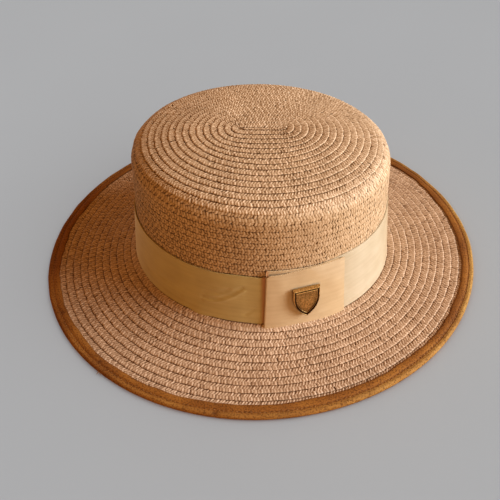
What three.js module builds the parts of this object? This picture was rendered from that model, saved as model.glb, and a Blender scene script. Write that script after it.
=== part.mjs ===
// A wide-brimmed straw hat with a flat, gently domed crown, in millimetres with +Z up.
// The origin is under the middle of the brim, on the surface that the hat rests on.
// +X points to the front of the hat and +Y to the wearer's left.
import * as THREE from 'three';

const { lerp, clamp, degToRad, smoothstep, mapLinear } = THREE.MathUtils;

// Driving dimensions of the ovals. Each oval is an ellipse whose half length is its
// half width plus the half length of the centre slit, where the braid starts.
const SLIT_HALF = 14.5;
const CROWN_BASE_HALF_WIDTH = 85.5;
const SHOULDER_HALF_WIDTH = 79;
const BRIM_HALF_WIDTH = 160.5;

// Crown heights and radii, measured from its base
const WALL_HEIGHT = 89;
const SHOULDER_RADIUS = 16;
const DOME_RADIUS = 280;

// The wall turns out into the brim at its foot
const FOOT_FLARE = [
  { height: 0, out: 3.2 },
  { height: 6, out: 0.8 },
  { height: 12, out: 0 },
];

// How the crown sits on the level brim edge
const BASE_RISE = 6.6;
const CROWN_FORWARD = 2.2;
const FORWARD_DIP = 0.056;
const FORWARD_LEAN = 0.022;

// Braid: wall thickness and the overlapping rows
const STRAW = 2;
const ROW_STEP = 0.7;
const ROW_CREST = 0.86;
const FIRST_TOP_ROW = 2.5;
const TOP_ROW_PITCH = 5;
const BRIM_ROW_PITCH = 6;
const BRIM_ROWS = 10;

// Binding tape folded over the brim's edge
const TAPE = 0.8;
const BINDING_WIDTH = 9.8;
const BINDING_UNDER = 7;
const EDGE_ROLL = 2.2;
const STITCH_LINE = 4.2;
const STITCH_DEPTH = 0.4;

// Ribbon band, narrow round the back and wider round the front
const RIBBON = 1;
const BAND_LOW = { back: 2.8, front: 0.7 };
const BAND_HIGH = { back: 46.6, front: 53.5 };
const WIDE_UNTIL = degToRad(30);
const NARROW_FROM = degToRad(150);

// Folded ribbon tab over the band's join, on the wearer's right
const TAB_REAR = degToRad(-91.2);
const TAB_FRONT = degToRad(-56.5);
const TAB_LOW = 0.7;
const TAB_HIGH = 53;
const TAB_THICK = 1.4;
const FOLD_SWELL = 1.4;
const FOLD_LENGTH = 0.12;
const TAB_COLUMNS = 12;
const TAB_ROWS = 3;

// Plain shield pin on the tab
const BADGE_ANGLE = degToRad(-74.6);
const BADGE_HEIGHT = 24.5;
const BADGE_HALF_WIDTH = 10;
const BADGE_TOP = 13;
const BADGE_TIP = -14;
const BADGE_SIDE_STRAIGHT = 3;
const BADGE_STEPS = 5;
const BADGE_PROFILE = [
  { scale: 0, level: 0 },
  { scale: 1, level: 0 },
  { scale: 1, level: 2.2 },
  { scale: 0.94, level: 3 },
  { scale: 0.84, level: 3 },
  { scale: 0.78, level: 2.1 },
  { scale: 0, level: 3 },
];

// Clearance between pieces, and the facets round each oval
const GAP = 0.3;
const SEGMENTS = 52;

// Values that follow from those sizes
const WALL_SLOPE = (CROWN_BASE_HALF_WIDTH - SHOULDER_HALF_WIDTH) / WALL_HEIGHT;
const WALL_ANGLE = Math.atan(WALL_SLOPE);
const SHOULDER_CENTRE = new THREE.Vector2(
  SHOULDER_HALF_WIDTH - SHOULDER_RADIUS * Math.cos(WALL_ANGLE),
  WALL_HEIGHT - SHOULDER_RADIUS * Math.sin(WALL_ANGLE),
);
const DOME_REACH = DOME_RADIUS - SHOULDER_RADIUS;
const DOME_CENTRE = SHOULDER_CENTRE.y - Math.sqrt(DOME_REACH ** 2 - SHOULDER_CENTRE.x ** 2);
const DOME_ANGLE = Math.asin(SHOULDER_CENTRE.x / DOME_REACH);
const SHOULDER_ANGLE = Math.PI / 2 - WALL_ANGLE;
const DOME_LENGTH = DOME_RADIUS * DOME_ANGLE;
const CAP_LENGTH = DOME_LENGTH + SHOULDER_RADIUS * (SHOULDER_ANGLE - DOME_ANGLE);
const TOP_ROWS = Math.floor((CAP_LENGTH - FIRST_TOP_ROW) / TOP_ROW_PITCH);
const FOOT_HALF_WIDTH = wallHalfWidth(0);
const BRIM_TOP = TAPE + GAP + STRAW;
const BINDING_START = BRIM_HALF_WIDTH - BINDING_WIDTH;
const BRIM_END = BRIM_HALF_WIDTH - EDGE_ROLL + GAP;

// Half width of the crown's outer wall at a height above its base
function wallHalfWidth(height) {
  const cone = CROWN_BASE_HALF_WIDTH - WALL_SLOPE * height;
  for (let i = 1; i < FOOT_FLARE.length; i += 1) {
    const low = FOOT_FLARE[i - 1];
    const high = FOOT_FLARE[i];
    if (height <= high.height) {
      return cone + mapLinear(height, low.height, high.height, low.out, high.out);
    }
  }
  return cone;
}

// Point of the dome and shoulder at a length from the centre, moved out along its normal
function capPoint(length, out) {
  if (length <= DOME_LENGTH) {
    const angle = length / DOME_RADIUS;
    const reach = DOME_RADIUS + out;
    return new THREE.Vector2(reach * Math.sin(angle), DOME_CENTRE + reach * Math.cos(angle));
  }
  const angle = DOME_ANGLE + (length - DOME_LENGTH) / SHOULDER_RADIUS;
  const reach = SHOULDER_RADIUS + out;
  return new THREE.Vector2(
    SHOULDER_CENTRE.x + reach * Math.sin(angle),
    SHOULDER_CENTRE.y + reach * Math.cos(angle),
  );
}

// Place in the hat of a half width and height on the crown, whose level planes dip to the front
function crownPoint(halfWidth, height, angle) {
  const x = (halfWidth + SLIT_HALF) * Math.cos(angle);
  return new THREE.Vector3(
    CROWN_FORWARD + x + FORWARD_LEAN * height,
    halfWidth * Math.sin(angle),
    BRIM_TOP + BASE_RISE + height - FORWARD_DIP * x,
  );
}

// Place in the hat of a half width on the dished brim, at a height above its upper face
function brimPoint(halfWidth, height, angle) {
  const out = clamp((halfWidth - FOOT_HALF_WIDTH) / (BINDING_START - FOOT_HALF_WIDTH), 0, 1);
  const x = (halfWidth + SLIT_HALF) * Math.cos(angle);
  const footX = (Math.min(halfWidth, FOOT_HALF_WIDTH) + SLIT_HALF) * Math.cos(angle);
  const rise = (BASE_RISE - FORWARD_DIP * footX) * (1 - out) ** 2;
  return new THREE.Vector3(
    x + CROWN_FORWARD * (1 - out),
    halfWidth * Math.sin(angle),
    BRIM_TOP + rise + height,
  );
}

// Turns a profile into a lathe and moves each of its vertices to where place puts it
function shapedLathe(profile, segments, place) {
  const geometry = new THREE.LatheGeometry(profile, segments);
  const position = geometry.attributes.position;
  for (let i = 0; i < position.count; i += 1) {
    const station = Math.floor(i / profile.length) % segments;
    const point = profile[i % profile.length];
    const spot = place(point.x, point.y, station);
    position.setXYZ(i, spot.x, spot.y, spot.z);
  }
  return geometry;
}

// Oval lathe: a profile of half width and height, laid round the hat
function ovalLathe(profile, place) {
  return shapedLathe(profile, SEGMENTS, (halfWidth, height, station) =>
    place(halfWidth, height, (station / SEGMENTS) * 2 * Math.PI));
}

// Crown: smooth inside, then the foot, the wall and the stepped rows up to the centre slit
function crownGeometry() {
  const profile = [];
  const innerStops = 5;
  for (let i = 0; i < innerStops; i += 1) {
    profile.push(capPoint((DOME_LENGTH * i) / innerStops, -STRAW));
  }
  const bendStops = 4;
  for (let i = 0; i <= bendStops; i += 1) {
    profile.push(capPoint(lerp(DOME_LENGTH, CAP_LENGTH, i / bendStops), -STRAW));
  }
  const heights = FOOT_FLARE.map((row) => Math.max(row.height, GAP));
  for (const height of [...heights].reverse()) {
    profile.push(new THREE.Vector2(wallHalfWidth(height) - STRAW, height));
  }
  for (const height of heights) {
    profile.push(new THREE.Vector2(wallHalfWidth(height), height));
  }
  const rows = [];
  for (let row = 0; row < TOP_ROWS; row += 1) {
    const start = FIRST_TOP_ROW + row * TOP_ROW_PITCH;
    rows.push(capPoint(start, -ROW_STEP / 2));
    rows.push(capPoint(start + ROW_CREST * TOP_ROW_PITCH, ROW_STEP / 2));
  }
  const centreCrest = capPoint(FIRST_TOP_ROW * ROW_CREST, ROW_STEP / 2);
  profile.push(capPoint(CAP_LENGTH, 0), ...rows.reverse(), centreCrest, capPoint(0, 0));
  return ovalLathe(profile, crownPoint);
}

// Brim: smooth underside, then the level edge and the stepped rows back to the crown
function brimGeometry() {
  const inner = FOOT_HALF_WIDTH - STRAW;
  const profile = [new THREE.Vector2(inner, -STRAW)];
  const undersideStops = 4;
  for (let i = 0; i <= undersideStops; i += 1) {
    const halfWidth = lerp(FOOT_HALF_WIDTH, BINDING_START, i / undersideStops);
    profile.push(new THREE.Vector2(halfWidth, -STRAW));
  }
  profile.push(new THREE.Vector2(BRIM_END, -STRAW));
  profile.push(new THREE.Vector2(BRIM_END, 0));
  profile.push(new THREE.Vector2(FOOT_HALF_WIDTH + BRIM_ROWS * BRIM_ROW_PITCH, 0));
  for (let row = BRIM_ROWS - 1; row >= 0; row -= 1) {
    const start = FOOT_HALF_WIDTH + row * BRIM_ROW_PITCH;
    profile.push(new THREE.Vector2(start + ROW_CREST * BRIM_ROW_PITCH, ROW_STEP / 2));
    profile.push(new THREE.Vector2(start, -ROW_STEP / 2));
  }
  profile.push(new THREE.Vector2(inner, 0));
  profile.push(profile[0].clone());
  return ovalLathe(profile, brimPoint);
}

// Binding: a channel of tape with a flat top, a stitched groove, a rolled edge and a flat foot
function bindingGeometry() {
  const underTop = -STRAW - GAP - TAPE;
  const flatTop = GAP + TAPE;
  const channel = BRIM_END + GAP;
  const rollCentre = new THREE.Vector2(BRIM_HALF_WIDTH - EDGE_ROLL, underTop + EDGE_ROLL);
  const profile = [
    new THREE.Vector2(BRIM_HALF_WIDTH - BINDING_UNDER, underTop),
  ];
  for (const degrees of [-90, -45, 0, 45, 90]) {
    const angle = degToRad(degrees);
    profile.push(new THREE.Vector2(
      rollCentre.x + EDGE_ROLL * Math.cos(angle),
      rollCentre.y + EDGE_ROLL * Math.sin(angle),
    ));
  }
  const groove = BRIM_HALF_WIDTH - STITCH_LINE;
  profile.push(
    new THREE.Vector2(groove, flatTop - STITCH_DEPTH),
    new THREE.Vector2(groove - STITCH_DEPTH, flatTop),
    new THREE.Vector2(BINDING_START, flatTop),
    new THREE.Vector2(BINDING_START, GAP),
    new THREE.Vector2(channel, GAP),
    new THREE.Vector2(channel, -STRAW - GAP),
    new THREE.Vector2(BRIM_HALF_WIDTH - BINDING_UNDER, -STRAW - GAP),
    profile[0].clone(),
  );
  return ovalLathe(profile, brimPoint);
}

// How far the ribbon has spread at an angle: 0 along the back, 1 along the front
function bandSpread(angle) {
  const turn = angle > Math.PI ? angle - 2 * Math.PI : angle;
  if (turn < 0) {
    return smoothstep(turn, TAB_REAR, TAB_FRONT);
  }
  return 1 - smoothstep(turn, WIDE_UNTIL, NARROW_FROM);
}

// Half width of the ribbon's inner face, which runs straight from its lower to its upper edge
function bandHalfWidth(height, angle) {
  const spread = bandSpread(angle);
  const low = lerp(BAND_LOW.back, BAND_LOW.front, spread);
  const high = lerp(BAND_HIGH.back, BAND_HIGH.front, spread);
  return mapLinear(height, low, high, wallHalfWidth(low), wallHalfWidth(high)) + GAP;
}

// Band: a straight-sided ribbon round the crown's foot
function bandGeometry() {
  const section = [
    new THREE.Vector2(0, 0),
    new THREE.Vector2(RIBBON, 0),
    new THREE.Vector2(RIBBON, 1),
    new THREE.Vector2(0, 1),
    new THREE.Vector2(0, 0),
  ];
  return ovalLathe(section, (out, edge, angle) => {
    const spread = bandSpread(angle);
    const low = lerp(BAND_LOW.back, BAND_LOW.front, spread);
    const high = lerp(BAND_HIGH.back, BAND_HIGH.front, spread);
    const height = lerp(low, high, edge);
    return crownPoint(bandHalfWidth(height, angle) + out, height, angle);
  });
}

// Outer face of the tab over the band, swollen along the fold at its rear edge
function tabHalfWidth(along, height) {
  const angle = lerp(TAB_REAR, TAB_FRONT, along);
  const seat = bandHalfWidth(height, angle) + RIBBON + GAP;
  const fold = 1 - smoothstep(along, 0, FOLD_LENGTH);
  return seat + TAB_THICK + FOLD_SWELL * fold;
}

// Tab: a curved box whose rear edge is a thick fold
function tabGeometry() {
  const geometry = new THREE.BoxGeometry(1, 1, 1, TAB_COLUMNS, TAB_ROWS, 1);
  const position = geometry.attributes.position;
  for (let i = 0; i < position.count; i += 1) {
    const along = position.getX(i) + 0.5;
    const height = lerp(TAB_LOW, TAB_HIGH, position.getY(i) + 0.5);
    const angle = lerp(TAB_REAR, TAB_FRONT, along);
    const seat = bandHalfWidth(height, angle) + RIBBON + GAP;
    const halfWidth = position.getZ(i) > 0 ? tabHalfWidth(along, height) : seat;
    const spot = crownPoint(halfWidth, height, angle);
    position.setXYZ(i, spot.x, spot.y, spot.z);
  }
  return geometry;
}

// Shield outline: a level top, straight upper sides and curved lower sides that meet in a tip
function shieldOutline() {
  const shape = new THREE.Shape();
  shape.moveTo(0, BADGE_TIP);
  shape.quadraticCurveTo(BADGE_HALF_WIDTH, BADGE_TIP / 2, BADGE_HALF_WIDTH, BADGE_SIDE_STRAIGHT);
  shape.lineTo(BADGE_HALF_WIDTH, BADGE_TOP);
  shape.lineTo(0, BADGE_TOP);
  shape.lineTo(-BADGE_HALF_WIDTH, BADGE_TOP);
  shape.lineTo(-BADGE_HALF_WIDTH, BADGE_SIDE_STRAIGHT);
  shape.quadraticCurveTo(-BADGE_HALF_WIDTH, BADGE_TIP / 2, 0, BADGE_TIP);
  return shape.getPoints(BADGE_STEPS).slice(0, -1);
}

// Badge: the shield's outline drawn in towards its middle, with a raised rim and a low boss
function badgeGeometry() {
  const outline = shieldOutline();
  const profile = BADGE_PROFILE.map((row) => new THREE.Vector2(row.scale, row.level));
  return shapedLathe(profile, outline.length, (scale, level, station) => {
    const point = outline[station];
    return new THREE.Vector3(point.x * scale, point.y * scale, level);
  });
}

// Sets the badge upright on the tab's outer face, facing straight out
function seatBadge(mesh) {
  const face = (height, angle) => {
    const along = mapLinear(angle, TAB_REAR, TAB_FRONT, 0, 1);
    return crownPoint(tabHalfWidth(along, height), height, angle);
  };
  const centre = face(BADGE_HEIGHT, BADGE_ANGLE);
  const across = face(BADGE_HEIGHT, BADGE_ANGLE + degToRad(1)).sub(centre).normalize();
  const up = face(BADGE_HEIGHT + 1, BADGE_ANGLE).sub(centre).normalize();
  const outward = new THREE.Vector3().crossVectors(across, up).normalize();
  const level = new THREE.Vector3().crossVectors(up, outward);
  mesh.quaternion.setFromRotationMatrix(new THREE.Matrix4().makeBasis(level, up, outward));
  mesh.position.copy(centre).addScaledVector(outward, GAP);
}

// One named mesh for each piece
function piece(name, geometry, colour, roughness, metalness = 0) {
  const material = new THREE.MeshStandardMaterial({ color: colour, roughness, metalness });
  const mesh = new THREE.Mesh(geometry, material);
  mesh.name = name;
  return mesh;
}

const hat = new THREE.Group();
const badge = piece('badge', badgeGeometry(), 0x7d5c22, 0.35, 1);
seatBadge(badge);
hat.add(
  piece('crown', crownGeometry(), 0xc6966c, 0.75),
  piece('brim', brimGeometry(), 0xcda082, 0.75),
  piece('brim_binding', bindingGeometry(), 0x96601f, 0.85),
  piece('hat_band', bandGeometry(), 0xd9b67e, 0.5),
  piece('band_tab', tabGeometry(), 0xe4c492, 0.5),
  badge,
);

export default hat;
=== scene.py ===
"""Looks of a wide-brimmed straw hat with a flat, gently domed crown.

Sizes are in millimetres in the part's own frame and turn into metres when a piece is made. +X points to
the front of the hat, +Y to the wearer's left and +Z up.
"""

import math
from collections import namedtuple
from dataclasses import dataclass

import bmesh
import bpy
import numpy as np
from mathutils import Matrix, Vector


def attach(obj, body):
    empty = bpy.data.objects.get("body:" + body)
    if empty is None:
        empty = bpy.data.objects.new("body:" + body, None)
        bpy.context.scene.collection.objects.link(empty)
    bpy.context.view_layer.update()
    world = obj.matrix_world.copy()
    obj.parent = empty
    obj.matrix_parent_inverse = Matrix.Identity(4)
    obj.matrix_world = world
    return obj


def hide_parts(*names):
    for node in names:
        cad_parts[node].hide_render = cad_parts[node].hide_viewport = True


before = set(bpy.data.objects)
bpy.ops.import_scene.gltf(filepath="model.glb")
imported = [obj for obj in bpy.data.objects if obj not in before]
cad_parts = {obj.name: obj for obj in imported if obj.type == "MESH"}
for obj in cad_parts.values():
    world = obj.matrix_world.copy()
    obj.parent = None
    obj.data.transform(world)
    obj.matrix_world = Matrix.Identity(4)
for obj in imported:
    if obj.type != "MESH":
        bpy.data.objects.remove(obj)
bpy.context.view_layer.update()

MM = 0.001
WELD_DISTANCE = 1e-6

# Ovals: half widths, and the half length of the slit that every oval grows from
SLIT_HALF = 14.5
SLIT_BLUNTNESS = 3.5
OVAL_BLUNTNESS = 0.01
BLUNT_UNTIL = 45
SLIT_LAP = 0.45
BASE_HALF = 85.5
SHOULDER_HALF = 79
BRIM_HALF = 160.5

# Crown heights and radii, measured from its base
WALL_HEIGHT = 89
SHOULDER_RADIUS = 16
DOME_RADIUS = 280
FLARE_HEIGHTS = (0, 6, 12)
FLARE_OUT = (3.2, 0.8, 0)

# How the crown sits on the level brim edge
BASE_RISE = 6.6
CROWN_FORWARD = 2.2
FORWARD_DIP = 0.056
FORWARD_LEAN = 0.022

# Straw shell under the braid
STRAW = 2
SHELL_SINK = 0.4
GAP = 0.3
AROUND = 240

# Braid rows: where the first row's edge is on the near side, and the step from row to row
TOP_FIRST_EDGE = 2.5
TOP_PITCH = 5
BRIM_FIRST_EDGE = 94.4
BRIM_PITCH = 5.9
START_ANGLE = -math.pi / 2

# The brim's innermost row turns up between these half widths, to just under the ribbon
UPTURN_BETWEEN = (88.5, 93)
UPTURN_SHORT = 0.6

# Binding tape
TAPE = 0.8
BINDING_WIDTH = 9.8
BINDING_UNDER = 7
EDGE_ROLL = 2.2
STITCH_LINE = 4.2

# Ribbon band and the folded tab over its join
RIBBON = 0.7
BAND_LOW = (2.8, 0.7)
BAND_HIGH = (46.6, 53.5)
WIDE_UNTIL = math.radians(30)
NARROW_FROM = math.radians(150)
RIBBON_SAG = 0.9
SAG_BETWEEN = (0.8, 2.8)
TAB_REAR = math.radians(-91.2)
TAB_FRONT = math.radians(-56.5)
TAB_LOW = 0.7
TAB_HIGH = 53

# Shield pin
BADGE_ANGLE = math.radians(-74.6)
BADGE_HEIGHT = 24.5
BADGE_HALF = 10
BADGE_TOP = 13
BADGE_TIP = -14
BADGE_SIDE_STRAIGHT = 5

# Values that follow from those sizes
WALL_SLOPE = (BASE_HALF - SHOULDER_HALF) / WALL_HEIGHT
WALL_ANGLE = math.atan(WALL_SLOPE)
SHOULDER_X = SHOULDER_HALF - SHOULDER_RADIUS * math.cos(WALL_ANGLE)
SHOULDER_Z = WALL_HEIGHT - SHOULDER_RADIUS * math.sin(WALL_ANGLE)
DOME_REACH = DOME_RADIUS - SHOULDER_RADIUS
DOME_CENTRE = SHOULDER_Z - math.sqrt(DOME_REACH**2 - SHOULDER_X**2)
DOME_ANGLE = math.asin(SHOULDER_X / DOME_REACH)
DOME_LENGTH = DOME_RADIUS * DOME_ANGLE
CAP_LENGTH = DOME_LENGTH + SHOULDER_RADIUS * (math.pi / 2 - WALL_ANGLE - DOME_ANGLE)
FOOT_LENGTH = CAP_LENGTH + (WALL_HEIGHT - GAP) / math.cos(WALL_ANGLE)
FOOT_HALF = BASE_HALF + FLARE_OUT[0]
BRIM_TOP = TAPE + GAP + STRAW
BINDING_START = BRIM_HALF - BINDING_WIDTH
BRIM_END = BRIM_HALF - EDGE_ROLL + GAP


def smoothstep(value, low, high):
    x = np.clip((value - low) / (high - low), 0, 1)
    return x * x * (3 - 2 * x)


def lerp(a, b, share):
    return a + (b - a) * share


def half_turn(angle):
    """The same angle from minus half a turn to half a turn."""
    return (angle + math.pi) % math.tau - math.pi


def stacked(*parts):
    """Vectors from their parts, which may be arrays of different shapes."""
    return np.stack(np.broadcast_arrays(*parts), -1)


def unit(vectors):
    """The same directions with a length of one."""
    return vectors / np.linalg.norm(vectors, axis=-1, keepdims=True)


def run_along(points):
    """Length from the first point to each point of a line."""
    return np.concatenate([[0], np.cumsum(np.linalg.norm(np.diff(points, axis=0), axis=1))])


def wall_half_width(height):
    """Half width of the crown's outer wall at a height above its base."""
    cone = BASE_HALF - WALL_SLOPE * height
    return cone + np.interp(height, FLARE_HEIGHTS, FLARE_OUT)


def crown_profile(length, out):
    """Half width and height at a length down the crown's outside, moved out along its normal."""
    turn = np.minimum(length, DOME_LENGTH) / DOME_RADIUS
    dome = DOME_RADIUS + out
    bend = DOME_ANGLE + np.clip(length - DOME_LENGTH, 0, CAP_LENGTH - DOME_LENGTH) / SHOULDER_RADIUS
    shoulder = SHOULDER_RADIUS + out
    drop = WALL_HEIGHT - (length - CAP_LENGTH) * math.cos(WALL_ANGLE)
    places = [length <= DOME_LENGTH, length <= CAP_LENGTH]
    half_widths = [dome * np.sin(turn), SHOULDER_X + shoulder * np.sin(bend)]
    heights = [DOME_CENTRE + dome * np.cos(turn), SHOULDER_Z + shoulder * np.cos(bend)]
    half_width = np.select(places, half_widths, wall_half_width(drop) + out * math.cos(WALL_ANGLE))
    return half_width, np.select(places, heights, drop + out * math.sin(WALL_ANGLE))


def along_slit(half_width, angle):
    """How far a point stands along the slit: rows close to it have blunt ends, and wider ones are ovals."""
    blunt = lerp(SLIT_BLUNTNESS, OVAL_BLUNTNESS, smoothstep(half_width, 0, BLUNT_UNTIL))
    return SLIT_HALF * np.tanh(blunt * np.cos(angle)) / np.tanh(blunt)


def crown_point(half_width, height, angle):
    """Place of a half width and height on the crown, whose level planes dip to the front."""
    x = half_width * np.cos(angle) + along_slit(half_width, angle)
    return stacked(
        CROWN_FORWARD + x + FORWARD_LEAN * height,
        half_width * np.sin(angle),
        BRIM_TOP + BASE_RISE + height - FORWARD_DIP * x,
    )


def crown_surface(length, angle, out):
    """Place of a length down the crown's outside. A row that laps over the slit rides up there."""
    half_width, height = crown_profile(length, out + SLIT_LAP * np.clip(-length, 0, 1))
    return crown_point(half_width, height, angle)


def crown_inside(length, angle, out):
    """Place on the crown, no lower than where its lining ends."""
    return crown_surface(np.minimum(length, FOOT_LENGTH - GAP), angle, out)


def brim_surface(half_width, angle, out):
    """Place of a half width on the dished brim, at a height above its upper face."""
    share = np.clip((half_width - FOOT_HALF) / (BINDING_START - FOOT_HALF), 0, 1)
    x = (half_width + SLIT_HALF) * np.cos(angle)
    foot_x = (np.minimum(half_width, FOOT_HALF) + SLIT_HALF) * np.cos(angle)
    rise = (BASE_RISE - FORWARD_DIP * foot_x) * (1 - share) ** 2
    return stacked(x + CROWN_FORWARD * (1 - share), half_width * np.sin(angle), BRIM_TOP + rise + out)


def brim_face(half_width, angle, out):
    """The brim's upper face with its innermost row turned up to meet the ribbon's lower edge."""
    upturn = (lowest_ribbon(angle) - UPTURN_SHORT) * (1 - smoothstep(half_width, *UPTURN_BETWEEN))
    return brim_surface(half_width, angle, out + upturn)


def band_edges(angle):
    """Heights of the ribbon's lower and upper edge, which spread apart towards the front."""
    turn = half_turn(angle)
    right, left = smoothstep(turn, TAB_REAR, TAB_FRONT), 1 - smoothstep(turn, WIDE_UNTIL, NARROW_FROM)
    spread = np.where(turn < 0, right, left)
    return lerp(*BAND_LOW, spread), lerp(*BAND_HIGH, spread)


def lowest_ribbon(angle):
    """Height of the ribbon's lower edge as it is worn, which sags a little at the back."""
    low = band_edges(angle)[0]
    return low - RIBBON_SAG * smoothstep(low, *SAG_BETWEEN)


def band_half_width(height, angle):
    """Half width of the ribbon's inner face, straight from its lower to its upper edge."""
    low, high = band_edges(angle)
    share = (height - low) / (high - low)
    return lerp(wall_half_width(low), wall_half_width(high), share) + GAP


def grid_faces(rows, columns, wrap_rows=False, wrap_columns=False):
    """Quads between the points of a grid that is counted row by row."""
    i, j = np.indices((rows - (not wrap_rows), columns - (not wrap_columns)))
    below, right = (i + 1) % rows, (j + 1) % columns
    corners = (i * columns + j, i * columns + right, below * columns + right, below * columns + j)
    return np.stack(corners, -1).reshape(-1, 4)


def volume(points, faces):
    """Signed volume inside closed faces of four corners each, times six."""
    a, b, c, d = (points[faces[:, k]] for k in range(4))
    return (a * (np.cross(b, c) + np.cross(c, d))).sum()


def wander(angle, seed, waves, size):
    """A smooth irregular value round the hat, with a number of waves at most and a typical size."""
    rng = np.random.default_rng(seed)
    turns = np.arange(2, waves)
    weight = rng.normal(0, 1, len(turns)) / np.sqrt(turns)
    phase = rng.uniform(0, math.tau, len(turns))
    value = (weight * np.cos(np.asarray(angle)[..., None] * turns + phase)).sum(-1)
    return size * value / math.sqrt((weight**2).sum() / 2)


def placed(name, data):
    """A new object in the scene."""
    made = bpy.data.objects.new(name, data)
    bpy.context.scene.collection.objects.link(made)
    return made


def make_piece(
    name, points, faces, material, node_name, attributes=None, smooth=True, weld=False, crisp=None
):
    """A mesh from points in millimetres that rides on the hat and stands for a node.

    Attributes hold one number or one vector for each point. A smooth piece keeps its edges sharp where they
    turn by more than the angle that crisp gives.
    """
    points = np.asarray(points, float).reshape(-1, 3)
    if volume(points, faces) < 0:
        faces = faces[:, ::-1]
    mesh = bpy.data.meshes.new(name)
    mesh.from_pydata((points * MM).tolist(), [], faces.tolist())
    for key, values in (attributes or {}).items():
        single = values.size == len(points)
        layer = mesh.attributes.new(key, "FLOAT" if single else "FLOAT_VECTOR", "POINT")
        layer.data.foreach_set("value" if single else "vector", values.astype(np.float32).ravel())
    if weld:
        shape = bmesh.new()
        shape.from_mesh(mesh)
        bmesh.ops.remove_doubles(shape, verts=shape.verts, dist=WELD_DISTANCE)
        shape.to_mesh(mesh)
        shape.free()
    if smooth:
        mesh.shade_smooth()
    if crisp:
        mesh.set_sharp_from_angle(angle=crisp)
    mesh.materials.append(material)
    piece = placed(name, mesh)
    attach(piece, "root")
    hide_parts(node_name)
    return piece


# Materials

WHITE = (1, 1, 1)


class Look:
    """A material, and the shader nodes that it is made of."""

    def __init__(self, name):
        self.material = bpy.data.materials.new(name)
        self.material.use_nodes = True
        self.tree = self.material.node_tree
        self.sockets = self.tree.nodes["Principled BSDF"].inputs

    def feed(self, socket, value):
        """Sets a socket to a plain value, or links it to another socket."""
        if isinstance(value, bpy.types.NodeSocket):
            self.tree.links.new(value, socket)
        else:
            socket.default_value = value

    def new(self, kind, **inputs):
        made = self.tree.nodes.new("ShaderNode" + kind)
        for name, value in inputs.items():
            self.feed(made.inputs[name.replace("_", " ")], value)
        return made

    def stored(self, name, output="Fac"):
        """A value stored at the points of the mesh."""
        made = self.new("Attribute")
        made.attribute_name = name
        return made.outputs[output]

    def maths(self, operation, *values):
        made = self.new("Math")
        made.operation = operation
        for socket, value in zip(made.inputs, values):
            self.feed(socket, value)
        return made.outputs[0]

    def noise(self, scale, detail=2.0, stretch=None, source=None):
        """Noise in the piece's own metres, or in a stored source with a stretch for each axis."""
        if source:
            place = self.new("Mapping", Scale=stretch, Vector=self.stored(source, "Vector")).outputs[0]
        else:
            place = self.new("TexCoord").outputs["Object"]
        return self.new("TexNoise", Scale=scale, Detail=detail, Vector=place).outputs["Fac"]

    def ramp(self, source, *stops):
        """A colour ramp over a value: stops of position and linear colour."""
        made = self.new("ValToRGB", Fac=source)
        elements = made.color_ramp.elements
        while len(elements) < len(stops):
            elements.new(0.5)
        for element, (position, colour) in zip(elements, stops):
            element.position = position
            element.color = (*colour, 1)
        return made.outputs["Color"]

    def mix(self, first, second, share, mode="MIX"):
        made = self.new("Mix")
        made.data_type = "RGBA"
        made.blend_type = mode
        for name, value in (("Factor", share), ("A", first), ("B", second)):
            self.feed(made.inputs[name], value)
        return made.outputs["Result"]

    def plain(self, **values):
        """Sets the shader's own sockets to values that are the same all over."""
        for name, value in values.items():
            self.sockets[name.replace("_", " ")].default_value = value

    def colour(self, value):
        self.feed(self.sockets["Base Color"], value)

    def roughness(self, source, low, high):
        """Roughness that goes from low to high with a value from 0 to 1."""
        made = self.new("MapRange", Value=source, To_Min=low, To_Max=high)
        self.feed(self.sockets["Roughness"], made.outputs["Result"])

    def bump(self, height, distance, strength=1.0):
        """Fine relief from a value, whose distance is in millimetres."""
        made = self.new("Bump", Height=height, Distance=distance * MM, Strength=strength)
        self.feed(self.sockets["Normal"], made.outputs["Normal"])


# Straw colours from the painted shade of crevices to the lightest strands, at these tones
DEEPEST_TONE = -0.4
STRAW_TONES = (DEEPEST_TONE, 0.0, 0.5, 1.0)
CROWN_STRAW = ((0.29, 0.165, 0.078), (0.34, 0.205, 0.1), (0.583, 0.405, 0.245), (0.78, 0.58, 0.394))
WALL_STRAW = ((0.08, 0.036, 0.012), (0.33, 0.195, 0.092), (0.585, 0.406, 0.238), (0.742, 0.552, 0.374))
BRIM_STRAW = ((0.2, 0.105, 0.046), (0.32, 0.182, 0.098), (0.54, 0.363, 0.226), (0.735, 0.53, 0.366))


def tone_share(tone):
    """Share of the way from the deepest to the lightest tone."""
    return (tone - DEEPEST_TONE) / (1 - DEEPEST_TONE)


def straw_material(name, colours, flecked):
    """Paper straw: each strand has its own tone, with painted shade and highlight, and flecks, over broad
    mottling and a fibre grain.
    """
    look = Look(name)
    spread = flecked / (1 - DEEPEST_TONE)
    flecks = look.maths("MULTIPLY_ADD", look.noise(scale=700, detail=3.0), spread, -spread / 2)
    toned = look.maths("ADD", look.stored("tone"), flecks)
    strands = look.ramp(toned, *((tone_share(tone), colour) for tone, colour in zip(STRAW_TONES, colours)))
    mottle = look.ramp(look.noise(scale=35, detail=3.0), (0.3, (0.86, 0.84, 0.82)), (0.7, WHITE))
    look.colour(look.mix(strands, mottle, 1.0, "MULTIPLY"))
    fibres = look.noise(scale=2600)
    look.roughness(fibres, 0.5, 0.75)
    look.bump(fibres, distance=0.06, strength=0.5)
    look.plain(Specular_IOR_Level=0.35)
    return look.material


def shell_material():
    """Straw under the strands, coloured dark to paint the shade in the gaps between them."""
    look = Look("straw_gap_shade")
    clouds = look.noise(scale=400, detail=3.0)
    look.colour(look.ramp(clouds, (0.3, (0.28, 0.15, 0.062)), (0.7, (0.38, 0.22, 0.1))))
    grain = look.noise(scale=1500)
    look.roughness(grain, 0.7, 0.95)
    look.bump(grain, distance=0.15)
    return look.material


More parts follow.
